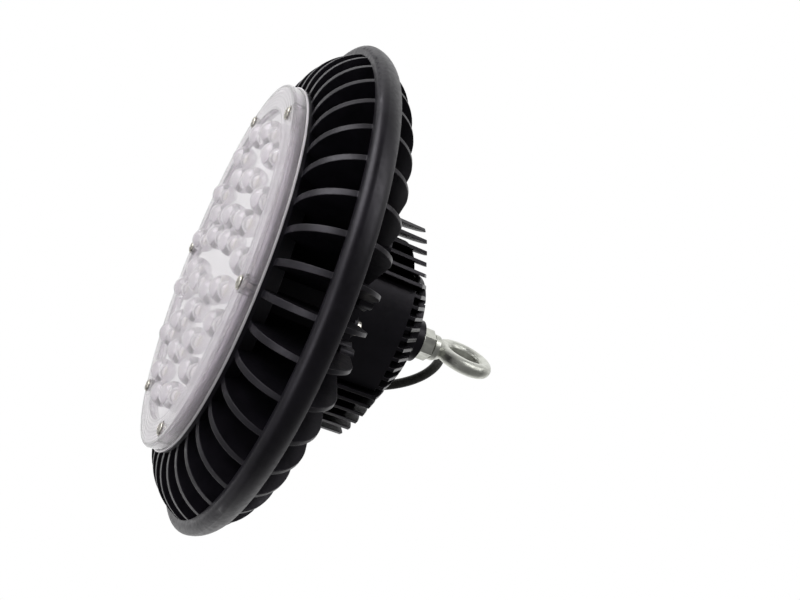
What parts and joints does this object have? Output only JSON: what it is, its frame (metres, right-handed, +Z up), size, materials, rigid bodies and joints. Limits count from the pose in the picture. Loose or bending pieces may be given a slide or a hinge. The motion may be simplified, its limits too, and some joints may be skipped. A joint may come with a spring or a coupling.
{
  "type": "high bay light",
  "caption": "Round LED high bay light: finned black heat sink, domed clear lens, finned driver housing above it, eye bolt to hang it by and a short supply cord.",
  "frame": {"origin": "on the light's axis, level with the tips of the lens domes, the lowest points of the light", "axes": "+Z up through the eye bolt, as the light hangs; +Y towards the cord gland"},
  "size_m": [0.3084, 0.3084, 0.2025],
  "materials": {
    "black_coat": "satin black powder coat on die-cast aluminium",
    "clear_lens": "clear moulded polycarbonate",
    "nickel": "bright nickel plate",
    "silicone": "grey silicone",
    "thermal_film": "soft grey film",
    "white_board": "white solder mask",
    "phosphor": "yellow phosphor",
    "black_steel": "blackened steel",
    "aluminium": "plain sheet",
    "nylon": "natural nylon",
    "circuit_board": "green solder mask",
    "core": "varnished core and winding",
    "capacitor_sleeve": "dark sleeve",
    "copper": "enamelled copper winding",
    "zinc": "zinc plated, soft sheen",
    "black_nylon": "black nylon",
    "cord_rubber": "matt black rubber",
    "brown_core": "brown insulation",
    "blue_core": "blue insulation",
    "green_core": "green and yellow insulation",
    "red_core": "red insulation",
    "black_core": "black insulation"
  },
  "bodies": {
    "root": {"heat_sink": "black_coat", "driver_housing": "black_coat", "lens_cover": "clear_lens", "lens_screws": "nickel", "lens_gasket": "silicone", "thermal_pad": "thermal_film", "led_board": "white_board", "led_chips": "phosphor", "board_screws": "nickel", "housing_gasket": "silicone", "housing_screws": "black_steel", "driver_plate": "aluminium", "plate_screws": "nickel", "board_standoffs": "nylon", "driver_board": "circuit_board", "transformer": "core", "capacitors": "capacitor_sleeve", "choke": "copper", "terminal_block": "nylon", "supply_tail": "cord_rubber", "eye_bolt": "zinc", "eye_nut": "zinc", "eye_washer": "zinc", "eye_lock_nut": "zinc", "eye_lock_washer": "zinc", "gland_body": "black_nylon", "gland_cap": "black_nylon", "gland_seal": "silicone", "power_cord": "cord_rubber", "conductor_live": "brown_core", "conductor_neutral": "blue_core", "conductor_earth": "green_core", "led_lead_red": "red_core", "led_lead_black": "black_core"}
  },
  "joints": []
}
